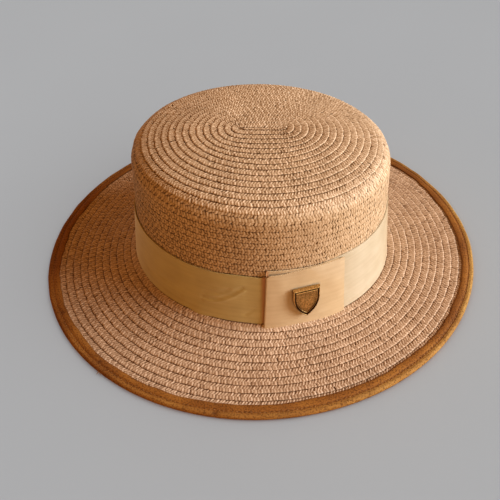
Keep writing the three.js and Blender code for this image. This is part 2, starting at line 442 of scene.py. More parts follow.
def lining_material():
    """The braid's inner face: slanting strokes that follow the plait, each with its own tone."""
    look = Look("straw_lining")
    split = look.new("SeparateXYZ", Vector=look.stored("plait", "Vector"))
    stroke = look.maths("SINE", look.maths("MULTIPLY", split.outputs["X"], math.tau))
    tones = look.noise(scale=1.0, stretch=(1, 2, 1), source="plait")
    mixed = look.maths("MULTIPLY_ADD", stroke, 0.12, tones)
    dark, middle, light = (0.3, 0.17, 0.085), (0.55, 0.36, 0.21), (0.74, 0.53, 0.35)
    look.colour(look.ramp(mixed, (0.25, dark), (0.5, middle), (0.75, light)))
    look.roughness(look.noise(scale=2600), 0.55, 0.8)
    look.bump(mixed, distance=0.3, strength=0.6)
    look.plain(Specular_IOR_Level=0.3)
    return look.material


# Ribbon colours, each from its deep to its pale streaks. The band's satin is darker and more golden than
# the tab's as painted shade, and turns to a paler lit satin at its front as painted light
STREAKS = (0.3, 0.7)
SHADED_BAND_SATIN = ((0.485, 0.365, 0.125), (0.535, 0.407, 0.15))
LIT_BAND_SATIN = ((0.49, 0.388, 0.232), (0.54, 0.43, 0.277))
TAB_SATIN = ((0.56, 0.4, 0.215), (0.61, 0.445, 0.25))


def ribbon_material(name, satin_streaks, painted_light=None):
    """Satin ribbon with long soft streaks, faint clouds and a fine cross rib, with painted shade in its
    crevices.

    With colours for painted light it turns to those, paler, where the mesh says so.
    """
    look = Look(name)
    streaks = look.noise(scale=1.0, stretch=(0.02, 0.35, 1), source="ribbon")
    clouds = look.noise(scale=1.0, stretch=(0.06, 0.08, 1), source="ribbon")
    satin = look.ramp(streaks, *zip(STREAKS, satin_streaks))
    if painted_light:
        satin = look.mix(satin, look.ramp(streaks, *zip(STREAKS, painted_light)), look.stored("painted_light"))
    satin = look.mix(satin, look.ramp(clouds, (0.3, (0.9, 0.87, 0.82)), (0.65, WHITE)), 1.0, "MULTIPLY")
    # Red-brown painted shade for the crevice by the tab and the fold's hidden side
    darkening = look.ramp(clouds, (0.3, (0.45, 0.2, 0.05)), (0.7, (0.5, 0.23, 0.07)))
    look.colour(look.mix(satin, darkening, look.stored("painted_shade")))
    look.roughness(clouds, 0.46, 0.54)
    weave = look.noise(scale=1.0, detail=1.0, stretch=(3.2, 1.1, 1), source="ribbon")
    look.bump(weave, distance=0.03, strength=0.4)
    look.plain(Specular_IOR_Level=0.9, Anisotropic=0.6, Anisotropic_Rotation=0.25)
    look.plain(Sheen_Weight=0.6, Sheen_Roughness=0.45, Sheen_Tint=(1.0, 0.96, 0.9, 1))
    return look.material


def tape_material():
    """Brown cotton tape with a close weave and dark specks, paler on its roll, most at the front, with
    painted shade in its groove, along its inner border and underneath, and worn dark at its nicks.
    """
    look = Look("binding_tape")
    dark, middle, light = (0.235, 0.088, 0.016), (0.345, 0.144, 0.025), (0.425, 0.2, 0.04)
    base = look.ramp(look.noise(scale=30, detail=3.0), (0.3, dark), (0.55, middle), (0.75, light))
    clouds = look.noise(scale=60, detail=3.0)
    pale = look.ramp(clouds, (0.3, (0.35, 0.18, 0.042)), (0.7, (0.45, 0.262, 0.075)))
    specks = look.ramp(look.noise(scale=900, detail=3.0), (0.36, (0.5, 0.44, 0.38)), (0.52, WHITE))
    cloth = look.mix(look.mix(base, pale, look.stored("pale_roll")), specks, 1.0, "MULTIPLY")
    # Dark colour for the painted shade in the groove, along the inner border and underneath, and for the
    # worn nicks
    blotches = look.noise(scale=300)
    darkening = look.ramp(blotches, (0.3, (0.08, 0.026, 0.006)), (0.7, (0.19, 0.068, 0.014)))
    look.colour(look.mix(cloth, darkening, look.stored("wear_and_shade")))
    weave = look.noise(scale=1800, detail=1.0)
    look.roughness(weave, 0.65, 0.9)
    look.bump(weave, distance=0.12, strength=0.7)
    look.plain(Specular_IOR_Level=0.25)
    return look.material


def thread_material():
    """Twisted sewing thread, a little paler than the tape."""
    look = Look("seam_thread")
    twist = look.noise(scale=2200)
    look.colour(look.ramp(twist, (0.35, (0.2, 0.08, 0.016)), (0.65, (0.46, 0.23, 0.07))))
    look.roughness(twist, 0.55, 0.8)
    look.bump(twist, distance=0.08, strength=0.6)
    return look.material


def brass_material():
    """Antique brass: bright on rubbed edges, dark with patina in the groove and in pits."""
    look = Look("antique_brass")
    pits = look.noise(scale=900, detail=4.0)
    metal = look.ramp(pits, (0.35, (0.5, 0.3, 0.1)), (0.6, (0.92, 0.63, 0.27)))
    darkening = look.ramp(pits, (0.3, (0.045, 0.018, 0.007)), (0.7, (0.11, 0.05, 0.018)))
    look.colour(look.mix(metal, darkening, look.stored("patina")))
    look.plain(Metallic=1.0)
    look.roughness(pits, 0.45, 0.28)
    look.bump(pits, distance=0.12, strength=0.5)
    return look.material


def floor_material():
    """Plain pale grey, with the faintest clouds."""
    look = Look("floor")
    look.colour(look.ramp(look.noise(scale=3), (0.3, (0.585, 0.585, 0.585)), (0.7, (0.6, 0.6, 0.6))))
    look.plain(Roughness=0.9)
    return look.material


# Straw

# A strand's stations from end to end, and the corners of its section: across and up
STATIONS = np.array([0.0, 0.28, 0.72, 1.0])
SECTION_ACROSS = np.array([-0.5, 0.0, 0.5, 0.0])
SECTION_UP = np.array([0.0, 1.0, 0.0, 0.0])
# Painted shading round a strand's section: edges and underside darker as painted shade, the ridge lighter
# as a painted highlight
SECTION_SHADING = np.array([-0.4, 0.2, -0.4, -0.4])
STRAND_UNDER = 0.3

# How strands differ at random: widths, slants and lifts by a share, places in mm, reach in rows
WIDTHS_VARY = 0.1
SLANTS_VARY = 0.2
PLACES_VARY = 0.1
LIFTS_VARY = 0.2
REACHES_VARY = 0.028
STITCH_DRIFT = 0.07

# How every second strand differs: its lift for each unit of tone, and its tone where there is no painted
# crevice shade and where it is fullest
ALTERNATE_LIFT = 1.5
ALTERNATE_SHADED = (0.6, 1.7)
MIDDLE_TONE = 0.5


# A lane is one half of a plaited row: strands side by side, slanting across part of it. A strand's widths,
# rises, drops, tones and its crevices' painted shade go from its inner to its outer end. The tones darken
# its ends as painted shade, and lighten a rolled outer end as a painted highlight. First is 1 where the
# first strand is a light one and -1 where it is dark. Ragged is the share of a narrow end's missing width
# that a strand may make up at random
LANE_FIELDS = "reach slant width lift shift widths rises drops tones crevice first ragged"
Lane = namedtuple("Lane", LANE_FIELDS, defaults=[0.0])

# A weave is how braid is plaited: its lanes, the tilt of its rows, its strands' spacing and their tones.
# Contrast is how far tones differ at random, and alternate how much lighter and higher every second strand
# is. The crevice shade share gives how much of the crevices' painted shade there is at an angle round the
# hat, and spotted how much more of it the dark strands have than the light ones
WEAVE_FIELDS = "inner outer low step spacing contrast alternate soiled spotted"
Weave = namedtuple("Weave", WEAVE_FIELDS, defaults=[0.0])


def long_sides(angle):
    """Share of painted crevice shade on the crown's top, most on the long sides beside the slit."""
    return smoothstep(np.abs(np.sin(angle)), 0.55, 1)


def away_from_front(low, high):
    """Share of painted crevice shade, which grows from the front to the back."""
    return lambda angle: smoothstep(-np.cos(angle), low, high)


LEVEL = (0, 0, 0, 0)
# Tucked strands: their ends are darkened as painted shade, and the inner foot, where the row tucks under,
# much more as painted crevice shade
TUCKED = dict(
    widths=(0.8, 1, 1, 0.8), rises=(0.3, 1, 0.95, 0.4), drops=LEVEL,
    tones=(-0.1, 0.05, 0.05, -0.1), crevice=(-0.5, 0, 0, 0), first=1,
)
# Rolled strands: the outer end is lightened as a painted highlight, and its painted crevice shade darkens
# it again where that share is high
ROLLED = dict(
    widths=(0.8, 1, 1, 1.05), rises=(0.4, 1, 1, 0.7), drops=(0, 0, 0, 0.35),
    tones=(-0.1, 0.05, 0.1, 0.2), crevice=(0, 0, 0, -0.2), first=1,
)
TOP_WEAVE = Weave(
    Lane(reach=(0.04, 0.56), slant=-1.2, width=2.15, lift=0.32, shift=0.0, **TUCKED),
    Lane(reach=(0.44, 1.01), slant=0.6, width=2.3, lift=0.26, shift=0.5, **ROLLED),
    low=-0.08, step=0.75, spacing=2.05, contrast=0.085, alternate=0.078,
    soiled=long_sides,
)
BRIM_WEAVE = Weave(
    Lane(reach=(0.035, 0.55), slant=-1.3, width=2.3, lift=0.32, shift=0.0, **TUCKED),
    Lane(reach=(0.44, 1.01), slant=0.6, width=2.45, lift=0.25, shift=0.5, **ROLLED),
    low=-0.08, step=0.65, spacing=2.2, contrast=0.085, alternate=0.072,
    soiled=away_from_front(-1.0, -0.2),
)
# Eased strands: the crevice values paint shade at the narrow tips, round the holes of the weave
EASED_IN = dict(widths=(0.9, 1, 1, 0.7), rises=(0.6, 1, 1, 0.6), crevice=(0, 0, -0.1, -0.8), first=1)
EASED_OUT = dict(widths=(0.7, 1, 1, 1), rises=(0.6, 1, 1, 0.8), crevice=(-0.8, -0.1, 0, 0), first=-1)
EASED = dict(drops=LEVEL, tones=(-0.1, 0.05, 0.05, -0.05), ragged=0.6)
SHOULDER_WEAVE = Weave(
    Lane(reach=(-0.01, 0.53), slant=-1.1, width=2.1, lift=0.12, shift=0.0, **EASED_IN, **EASED),
    Lane(reach=(0.47, 1.03), slant=0.7, width=2.2, lift=0.11, shift=0.25, **EASED_OUT, **EASED),
    low=0.05, step=0.2, spacing=2.1, contrast=0.1, alternate=0.065,
    soiled=away_from_front(-0.4, 0.6), spotted=0.8,
)
# Flush strands: the crevice values paint shade at the narrow tips, round the wall's holes
FLUSH_IN = dict(widths=(1, 1, 1, 0.55), rises=(0.9, 1, 1, 0.6), crevice=(-0.7, 0, 0, -0.8), first=1)
FLUSH_OUT = dict(widths=(0.55, 1, 1, 1), rises=(0.6, 1, 1, 0.9), crevice=(-0.8, 0, 0, -0.7), first=-1)
FLUSH = dict(drops=LEVEL, tones=(-0.05, 0.05, 0.05, -0.05), ragged=0.9)
WALL_WEAVE = Weave(
    Lane(reach=(-0.06, 0.5), slant=-1.0, width=2.1, lift=0.09, shift=0.0, **FLUSH_IN, **FLUSH),
    Lane(reach=(0.5, 1.06), slant=0.8, width=2.1, lift=0.09, shift=0.0, **FLUSH_OUT, **FLUSH),
    low=0.1, step=0.0, spacing=2.05, contrast=0.07, alternate=0.09,
    soiled=away_from_front(-0.4, 0.6), spotted=0.8,
)

# Stitches are counted along this share of the row, measured in small steps. Near the slit, where a turn is
# short, a turn counts as no less than the shortest one, in mm
STITCH_SHARE = 0.75
STEPS_A_TURN = 720
SHORTEST_TURN = 12.0

# Where the top's first row begins, before and after it turns to lap over the slit
SLIT_EDGES = (-0.2, -1.8)
SLIT_TURNS = (0.0, 0.08)


@dataclass
class Course:
    """A spiral of plaited rows on a surface: the row's edge moves out by the pitch with each turn.

    Least gives the least half width, or length from the centre, that a row may have at a turn.
    """

    surface: object
    first_edge: float
    pitch: float
    least: object

    def angle(self, turn):
        return START_ANGLE + math.tau * turn

    def place(self, turn, share, out):
        """Place at a share of the way across the row, from its inner to its outer edge."""
        edge = self.first_edge + self.pitch * turn
        least = self.least(turn)
        inner = np.maximum(edge - self.pitch, least)
        return self.surface(np.maximum(lerp(inner, edge, share), least), self.angle(turn), out)

    def stitches(self, first, last, spacing, rng):
        """Turns of the stitches along the row, which drift a little, and how many mm a turn is there."""
        turn = np.linspace(first, last, int((last - first) * STEPS_A_TURN))
        run = run_along(self.place(turn, STITCH_SHARE, 0.0))
        gaps = rng.normal(spacing, STITCH_DRIFT * spacing, int(run[-1] / spacing))
        at = np.interp(np.cumsum(gaps) - spacing, run, turn)
        speed = np.interp(at, turn[1:], np.diff(run) / np.diff(turn))
        return at, np.maximum(speed, SHORTEST_TURN)

    def turn_at(self, edge):
        return (edge - self.first_edge) / self.pitch


def slit_side(turn):
    """Where the top's first row begins: at the slit on its left half, lapped over it on its right half."""
    return lerp(*SLIT_EDGES, smoothstep(turn, *SLIT_TURNS))


def brim_foot(turn):
    """Where the brim's first row begins, behind the crown's foot."""
    return FOOT_HALF - STRAW + 0 * turn


def by_turns(lane, count):
    """Plus and minus one by turns, for each strand of a lane."""
    return lane.first * np.where(np.arange(count) % 2, -1.0, 1.0)[:, None, None]


def column(values):
    """Values for each station of a strand, the same at every corner of its section."""
    return np.array(values)[:, None]


def strand_points(course, at, speed, weave, lane, rng):
    """Points of each strand of a lane: stations along it by corners of its section."""
    count = len(at)

    def vary(spread):
        return rng.normal(0, spread, (count, 1, 1))

    widths = column(lane.widths)
    made_up = rng.uniform(0, lane.ragged, (count, 1, 1)) * (1 - widths)
    across = lane.width * (widths + made_up) * SECTION_ACROSS * (1 + vary(WIDTHS_VARY))
    slant = column(lane.slant * (STATIONS - 0.5))
    along = slant * (1 + vary(SLANTS_VARY)) + across + vary(PLACES_VARY) + lane.shift * weave.spacing
    higher = ALTERNATE_LIFT * weave.alternate * by_turns(lane, count)
    lift = lane.lift * column(lane.rises) * SECTION_UP * (1 + vary(LIFTS_VARY) + higher)
    underside = SECTION_UP + np.abs(SECTION_ACROSS) == 0
    lift = lift - STRAND_UNDER * underside - column(lane.drops)
    share = column(lerp(*lane.reach, STATIONS)) + vary(REACHES_VARY) + 0 * across
    turn = at[:, None, None] + along / speed[:, None, None]
    return course.place(turn, share, weave.low + weave.step * share + lift)


def strand_tones(course, at, weave, lane, rng):
    """Tone of each strand of a lane, at the same points: its own random tone, with painted shade and
    highlight along it, round its section and in its crevices.
    """
    turns = by_turns(lane, len(at))
    soiled = weave.soiled(course.angle(at))[:, None, None]
    mean = MIDDLE_TONE + weave.alternate * turns * lerp(*ALTERNATE_SHADED, soiled)
    own = rng.normal(mean, weave.contrast)
    crevice = column(lane.crevice) * soiled * (1 - weave.spotted * turns)
    return own + column(lane.tones) + crevice + SECTION_SHADING


def strand_faces(count):
    """Sides and ends of closed strands that are counted one after the other."""
    stations, corners = len(STATIONS), len(SECTION_UP)
    sides = grid_faces(stations, corners, wrap_columns=True)
    ring = np.arange(corners)
    ends = np.array([ring[::-1], ring + (stations - 1) * corners])
    one = np.concatenate([sides, ends])
    return (one + (np.arange(count) * stations * corners)[:, None, None]).reshape(-1, 4)


def braid(name, node_name, material, course, first, last, weave, seed):
    """A stretch of the plaited spiral as separate strands, each with its own tone, which carries painted
    shade and highlight.
    """
    rng = np.random.default_rng(seed)
    at, speed = course.stitches(first, last, weave.spacing, rng)
    lanes = (weave.inner, weave.outer)
    points = np.concatenate([strand_points(course, at, speed, weave, lane, rng) for lane in lanes])
    tone = np.concatenate([strand_tones(course, at, weave, lane, rng) for lane in lanes])
    faces = strand_faces(len(points))
    tones = {"tone": np.clip(tone_share(tone), 0, 1)}
    make_piece(name, points, faces, material, node_name, tones, smooth=False)


def all_round(count):
    """Evenly spaced angles round the hat."""
    return np.arange(count) * math.tau / count


def shell(name, surface, line, material, node_name, closed, weld):
    """Shell under the braid: a line along its upper face and back along its lower one, all round."""
    run = np.concatenate([line, line[::-1]])
    out = np.repeat([-SHELL_SINK, -STRAW], len(line))
    points = surface(run[None, :], all_round(AROUND)[:, None], out[None, :])
    faces = grid_faces(AROUND, len(run), wrap_rows=True, wrap_columns=closed)
    make_piece(name, points, faces, material, node_name, weld=weld)


def shells(material):
    """Closed shells of the crown, from slit to foot, and of the brim, out to its bound edge."""
    bounds = (0, DOME_LENGTH, CAP_LENGTH, FOOT_LENGTH - FLARE_HEIGHTS[-1], FOOT_LENGTH)
    sections = zip(bounds, bounds[1:], (12, 10, 8, 5))
    lengths = np.concatenate([[0], *(np.linspace(*section)[1:] for section in sections)])
    shell("crown_shell", crown_surface, lengths, material, "crown", closed=False, weld=True)
    half_widths = np.linspace(FOOT_HALF - STRAW, BRIM_END, 26)
    shell("brim_shell", brim_surface, half_widths, material, "brim", closed=True, weld=False)


# The braid's inner face: share of the way across a row, and how far each corner of the plait stands in
LINING_SHARES = np.array([-0.02, 0.5, 1.04, 1.04, 0.5, -0.02])
LINING_DEPTHS = np.array([0.02, 0.3, 0.36, -0.3, -0.3, -0.3])
LINING_PHASES = np.array([-0.35, 0.0, 0.25, 0.25, 0.0, -0.35])
LINING_STROKE = 2.1


def lining(name, node_name, material, course, first, last, per_turn):
    """The braid's inner or lower face: one flat plait along the spiral, each row lapped over the next."""
    turn = np.linspace(first, last, int((last - first) * per_turn))
    points = course.place(turn[:, None], LINING_SHARES, -STRAW - LINING_DEPTHS)
    run = run_along(points[:, 1])
    phase = run[:, None] / LINING_STROKE + LINING_PHASES
    plait = stacked(phase, LINING_SHARES + np.floor(turn)[:, None], 0)
    corners = len(LINING_SHARES)
    faces = grid_faces(len(turn), corners, wrap_columns=True)
    start = np.array([[0, 1, 4, 5], [1, 2, 3, 4]])
    stop = start[:, ::-1] + (len(turn) - 1) * corners
    faces = np.concatenate([faces[:, ::-1], start, stop])
    make_piece(name, points, faces, material, node_name, {"plait": plait}, smooth=False)


# Binding

# Round the tape's section: half width, height, how far it follows the wavering inner border, and painted
# shade in the groove, along the inner border and underneath
TAPE_TOP = 1.35
GROOVE = BRIM_HALF - STITCH_LINE
TAPE_LAP = [
    (GROOVE + 0.9, TAPE_TOP - 0.12, 0.2, 0.0),
    (GROOVE + 0.45, TAPE_TOP - 0.25, 0.3, 0.15),
    (GROOVE + 0.05, TAPE_TOP - 0.45, 0.3, 0.4),
    (GROOVE - 0.4, TAPE_TOP - 0.4, 0.3, 0.35),
    (GROOVE - 1.0, TAPE_TOP - 0.02, 0.4, 0.05),
    (GROOVE - 2.4, TAPE_TOP + 0.15, 0.6, 0.0),
    (BINDING_START + 1.5, TAPE_TOP, 0.9, 0.05),
    (BINDING_START + 0.45, TAPE_TOP - 0.12, 1.0, 0.4),
    (BINDING_START, TAPE_TOP - 0.45, 1.0, 0.85),
    (BINDING_START + 0.2, TAPE_TOP - TAPE, 1.0, 0.9),
]
TAPE_FOOT = -STRAW - GAP - TAPE
TAPE_INSIDE = [
    (BRIM_END + GAP, GAP, 0.0, 0.5),
    (BRIM_END + GAP, -STRAW - GAP, 0.0, 0.5),
    (BRIM_HALF - BINDING_UNDER, -STRAW - GAP, 0.0, 0.5),
    (BRIM_HALF - BINDING_UNDER, TAPE_FOOT, 0.0, 0.3),
]

# Worn places on the tape: angle and half width
TAPE_NICKS = [(math.radians(-155.9), 154.5), (math.radians(-134.9), 154.6), (math.radians(-102.4), 158.6)]
NICK_LENGTH = 1.6
NICK_WIDTH = 1.3
NICK_DEPTH = 0.5

# How pale the roll is, at the back and at the front
PALE_ROLL_LEVELS = (0.1, 0.85)


def binding(material):
    """Tape folded over the brim's edge: a flat lap, a stitched groove and a rolled edge, all uneven."""
    roll = BRIM_HALF - EDGE_ROLL
    bend = np.radians(np.linspace(-90, 112, 15))
    across, up = roll + EDGE_ROLL * np.cos(bend), TAPE_FOOT + EDGE_ROLL + EDGE_ROLL * np.sin(bend)
    edge = stacked(across, up, 0, 0)
    profile = np.concatenate([edge, TAPE_LAP, TAPE_INSIDE])
    half_width, height, follow, darkening = (profile[None, :, k] for k in range(4))
    count = 720
    angles = all_round(count)[:, None]
    upper = height > 0
    border = follow * wander(angles, seed=21, waves=90, size=0.4)
    uneven = border + (1 - follow) * wander(angles, seed=22, waves=50, size=0.12) * upper
    swell = wander(angles, seed=23, waves=70, size=0.1) * upper
    # Painted shade in the groove, along the inner border and underneath, varied round the brim; the worn
    # nicks add to it below
    wear_and_shade = darkening * np.clip(0.7 + wander(angles, seed=25, waves=60, size=0.35), 0.15, 1.2)
    level = lerp(*PALE_ROLL_LEVELS, smoothstep(np.cos(angles), -0.9, 0.9))
    level = level + wander(angles, seed=26, waves=40, size=0.12)
    pale_roll = level * smoothstep(half_width, GROOVE + 0.2, GROOVE + 1.5) * (height > -1)
    for angle, place in TAPE_NICKS:
        along = half_turn(angles - angle) * place
        near = np.exp(-((along / NICK_LENGTH) ** 2) - ((half_width - place) / NICK_WIDTH) ** 2) * upper
        swell = swell - NICK_DEPTH * near
        wear_and_shade = wear_and_shade + near
    points = brim_surface(half_width + uneven, angles, height + swell)
    faces = grid_faces(count, profile.shape[0], wrap_rows=True, wrap_columns=True)
    colour_marks = {"wear_and_shade": np.clip(wear_and_shade, 0, 1), "pale_roll": np.clip(pale_roll, 0, 1)}
    piece = make_piece("binding_tape", points, faces, material, "brim_binding", colour_marks)


# Stitches in the tape's groove: step and length, where they lie, how they vary, and their thread
STITCH = 3.1
STITCH_LENGTH = 2.1
SEAM = GROOVE - 0.15
SEAM_HEIGHT = 0.8
STITCH_ARCH = 0.22 * np.array([-0.6, 1, 1, -0.6])
STITCH_VARIES = (0.04, 0.06)
THREAD = 0.5
THREAD_TIP = 0.4

# Loose threads where the tape ends
FRAYED_END = math.radians(-133)
FRAYED_FROM = 159.6
FRAYED_REACH = 3.4
FRAYED_COUNT = 5
FRAYED_TURNS = (0.006, 0.004)
FRAYED_THREAD = 0.3


def tube(path, width):
    """Rings of four points round a path of points, tapered at its ends."""
    heading = unit(np.gradient(path, axis=0))
    side = unit(np.cross(heading, (0, 0, 1)))
    over = np.cross(side, heading)
    taper = np.full(len(path), width / 2)
    taper[[0, -1]] *= THREAD_TIP
    offsets = (side, over, -side, -over)
    return np.stack([path + taper[:, None] * offset for offset in offsets], 1)


def seam(material):
    """Stitches along the tape's groove, and a few loose threads where the tape is frayed."""
    rng = np.random.default_rng(24)
    fine = np.linspace(0, math.tau, 2881)
    run = run_along(brim_surface(SEAM, fine, SEAM_HEIGHT))
    tubes = []
    for start in np.arange(0, run[-1] - STITCH, STITCH):
        along = np.interp(start + STITCH_LENGTH * STATIONS, run, fine)
        rise = SEAM_HEIGHT + STITCH_ARCH + rng.normal(0, STITCH_VARIES[0])
        half_width = SEAM + rng.normal(0, STITCH_VARIES[1], len(STATIONS))
        tubes.append(tube(brim_surface(half_width, along, rise), THREAD))
    for _ in range(FRAYED_COUNT):
        half_width = FRAYED_FROM + FRAYED_REACH * rng.uniform(0.5, 1) * STATIONS
        root, stray = (rng.normal(0, spread) for spread in FRAYED_TURNS)
        angle = FRAYED_END + root + stray * STATIONS
        hanging = 0.1 - 0.9 * STATIONS**2
        tubes.append(tube(brim_surface(half_width, angle, hanging), FRAYED_THREAD))
    faces = strand_faces(len(tubes))
    make_piece("binding_seam", np.array(tubes), faces, material, "brim_binding")


# Ribbon

# Soft folds in the band: angles in degrees and heights of the points they pass, depth and width
BAND_FOLDS = [
    ([(-117, 19.2), (-113, 20), (-109.6, 22.5), (-104.5, 29), (-100.3, 35.5)], 0.8, 1.5),
    ([(-116, 25), (-110, 27.5), (-106, 32)], 0.4, 2.0),
    ([(-99, 10), (-95, 17)], 0.2, 1.8),
    ([(-150, 14), (-138, 20), (-128, 19)], 0.3, 3.5),
]

# The raised lip beside a fold: how far along and up in widths, and its share of the fold's depth
FOLD_LIP = (0.6, -1.4, 0.6)
RIBBON_EDGE = math.radians(50)

# Angles where the band lifts beside the tab, turns paler as painted light, is loose below and stands full:
# from, most and to
CREVICE = np.radians((-99, -92.8, -91.6))
LIT_FRONT = (TAB_REAR, TAB_FRONT, math.radians(160))
LOOSE_EDGE = np.radians((-124, -119, -112))
FULL_BACK = np.radians((-205, -170, -135))
BAND_MIDDLE = 25.0
BAND_JOIN = TAB_REAR + 0.2
# Angle under the tab where the painted shade of the crevice beside it ends
PAINTED_SHADE_UNTIL = TAB_REAR + 0.05

# How far the ribbon stands off its seat: all round, at its full back, by the tab and at its loose edge
EASE = 0.12
FULLNESS = 0.15
CREVICE_LIFT = 0.6
LOOSE_LIFT = 0.7
DEEPEST_FOLD = -0.25


def hump(value, start, top, stop):
    """A smooth rise from start to top and fall from there to stop."""
    return smoothstep(value, start, top) * (1 - smoothstep(value, top, stop))


def there_and_back(first, second):
    """Rows of one face, then of the other in reverse, so that they go round the ribbon."""
    return np.concatenate([first, second[:, ::-1]], 1)


def ribbon(name, outer, inner, faces, material, node_name, attributes):
    """A ribbon from its two faces, with the same attributes on both."""
    both = {key: there_and_back(values, values) for key, values in attributes.items()}
    points = there_and_back(outer, inner)
    return make_piece(name, points, faces, material, node_name, both, crisp=RIBBON_EDGE)


def fold_depth(along, height, path, depth, width):
    """Depth of a soft fold that follows a path of points."""
    nearest = np.full(np.broadcast(along, height).shape, np.inf)
    for (x0, y0), (x1, y1) in zip(path[:-1], path[1:]):
        dx, dy = x1 - x0, y1 - y0
        t = np.clip(((along - x0) * dx + (height - y0) * dy) / (dx * dx + dy * dy), 0, 1)
        nearest = np.minimum(nearest, np.hypot(along - x0 - t * dx, height - y0 - t * dy))
    return depth * np.exp(-((nearest / width) ** 2))


def band(material):
    """Ribbon round the crown's foot, with soft folds, a loose spot below and a crevice by the tab, with
    painted shade in the crevice and painted light towards the front.
    """
    columns, rows = 640, 64
    angles = BAND_JOIN + all_round(columns)
    turn = ((angles + 1.5 * math.pi) % math.tau - 1.5 * math.pi)[:, None]
    share = np.linspace(0, 1, rows)[None, :]
    loose = hump(turn, *LOOSE_EDGE)
    low = lowest_ribbon(angles)[:, None] - loose
    high = band_edges(angles)[1] + wander(angles, seed=31, waves=30, size=0.2)
    height = lerp(low, high[:, None], share)
    seat = band_half_width(height, angles[:, None])
    along = run_along(crown_point(band_half_width(BAND_MIDDLE, angles), BAND_MIDDLE, angles))[:, None]
    order = np.argsort(turn[:, 0])
    uneven = wander(angles, seed=32, waves=24, size=0.6)[:, None]
    proud = FULLNESS * hump(turn, *FULL_BACK) * share**2
    proud = proud + CREVICE_LIFT * hump(turn, *CREVICE) + LOOSE_LIFT * loose * (1 - share) ** 4
    proud = proud + EASE * (1 + uneven * np.sin(math.pi * share))
    lip_along, lip_up, lip_height = FOLD_LIP
    for path, depth, width in BAND_FOLDS:
        places = [(np.interp(math.radians(a), turn[order, 0], along[order, 0]), h) for a, h in path]
        proud = proud - fold_depth(along, height, places, depth, width)
        raised = [(x + lip_along * width, h + lip_up * width) for x, h in places]
        proud = proud + fold_depth(along, height, raised, lip_height * depth, width)
    proud = np.maximum(proud, DEEPEST_FOLD)
    outer = crown_point(seat + RIBBON + proud, height, angles[:, None])
    inner = crown_point(seat + proud, height, angles[:, None])
    flat = stacked(along, height, 0)
    faces = grid_faces(columns, 2 * rows, wrap_rows=True, wrap_columns=True)
    # Painted shade in the crevice beside the tab
    painted_shade = smoothstep(turn, *CREVICE[1:]) * (1 - smoothstep(turn, TAB_REAR, PAINTED_SHADE_UNTIL)) + 0 * height
    # Painted light: the band turns to its paler satin towards the front
    painted_light = hump(half_turn(turn), *LIT_FRONT) + 0 * height
    colour_marks = {"ribbon": flat, "painted_shade": painted_shade, "painted_light": painted_light}
    piece = ribbon("ribbon_band", outer, inner, faces, material, "hat_band", colour_marks)


# The tab: its corner, a layer's length, half its ribbon's thickness, its stand-off and the back layer's
# reach, then its fold's bulge, lean, swell, drop, sag and ripple towards its rear edge
TAB_CORNER = 4.0
TAB_LENGTH = 58
TAB_HALF_PLY = 0.3
TAB_OFF = 0.55
TAB_BACK_REACH = 0.93
FOLD_BULGE = 0.01
TAB_LEAN = math.radians(0.9)
TAB_SWELL = (0.9, 1.4)
TAB_DROP = 2.1
TAB_SAG = (0.5, 0.4)
TAB_RIPPLE = 0.22


def tab(material):
    """Ribbon folded over the band's join: a front layer, a fold along its rear edge and a layer behind,
    with painted shade where the fold turns into the back layer.
    """
    columns, rows, fold = 60, 28, 12
    share = np.linspace(0, 1, rows)[None, :]
    turn = np.linspace(0, math.pi, fold + 2)[1:-1]
    front, back = np.linspace(1, 0, columns), np.linspace(0, TAB_BACK_REACH, columns)
    along = np.concatenate([front, -FOLD_BULGE * np.sin(turn), back])
    layer = np.concatenate([np.ones(columns), (1 + np.cos(turn)) / 2, np.zeros(columns)])
    to_rear = (1 - np.clip(along, 0, 1))[:, None]
    swell = TAB_SWELL[0] + TAB_SWELL[1] * (1 - smoothstep(along, 0.0, 0.4))
    drop = TAB_DROP * layer * (1 - smoothstep(along, 0.1, 0.62))
    from_corner = np.clip(TAB_CORNER - (along + FOLD_BULGE) * TAB_LENGTH, 0, TAB_CORNER)
    corner = layer * (TAB_CORNER - np.sqrt(TAB_CORNER**2 - from_corner**2))
    angles = lerp(TAB_REAR, TAB_FRONT, along)[:, None] + TAB_LEAN * share * to_rear**2
    low = TAB_LOW - TAB_SAG[0] - TAB_SAG[1] * layer[:, None] * to_rear
    height = lerp(low, (TAB_HIGH - drop - corner)[:, None], share)
    ripple = TAB_RIPPLE * np.sin(9 * along[:, None] + 4.0 * share) * np.sin(5 * share + 3 * along[:, None])
    calm = layer * smoothstep(along, 0, 0.2) * (1 - smoothstep(along, 0.85, 1))
    seat = band_half_width(height, angles) + RIBBON
    middle = seat + TAB_OFF + (layer * swell)[:, None] + ripple * calm[:, None]
    toward = TAB_HALF_PLY * np.where(layer > 0.5, 1.0, -1.0)[:, None]
    outside = crown_point(middle + toward, height, angles)
    inside = crown_point(middle - toward, height, angles)
    path = run_along(outside[:, rows // 2])[:, None]
    flat = stacked(path, height, 0)
    count = len(along)
    ring = np.arange(rows - 1)
    first = np.stack([ring, ring + 1, 2 * rows - 2 - ring, 2 * rows - 1 - ring], 1)
    last = first[:, ::-1] + (count - 1) * 2 * rows
    sides = grid_faces(count, 2 * rows, wrap_columns=True)
    faces = np.concatenate([sides, first[:, ::-1], last[:, ::-1]])
    # Painted shade on the fold's inner half and the start of the back layer, at the crevice by the band
    painted_shade = np.clip(1 - 1.6 * layer, 0, 1) * (1 - smoothstep(along, 0.0, 0.03))
    painted_shade = painted_shade[:, None] + 0 * height
    colour_marks = {"ribbon": flat, "painted_shade": painted_shade}
    piece = ribbon("ribbon_tab", outside, inside, faces, material, "band_tab", colour_marks)


# Badge

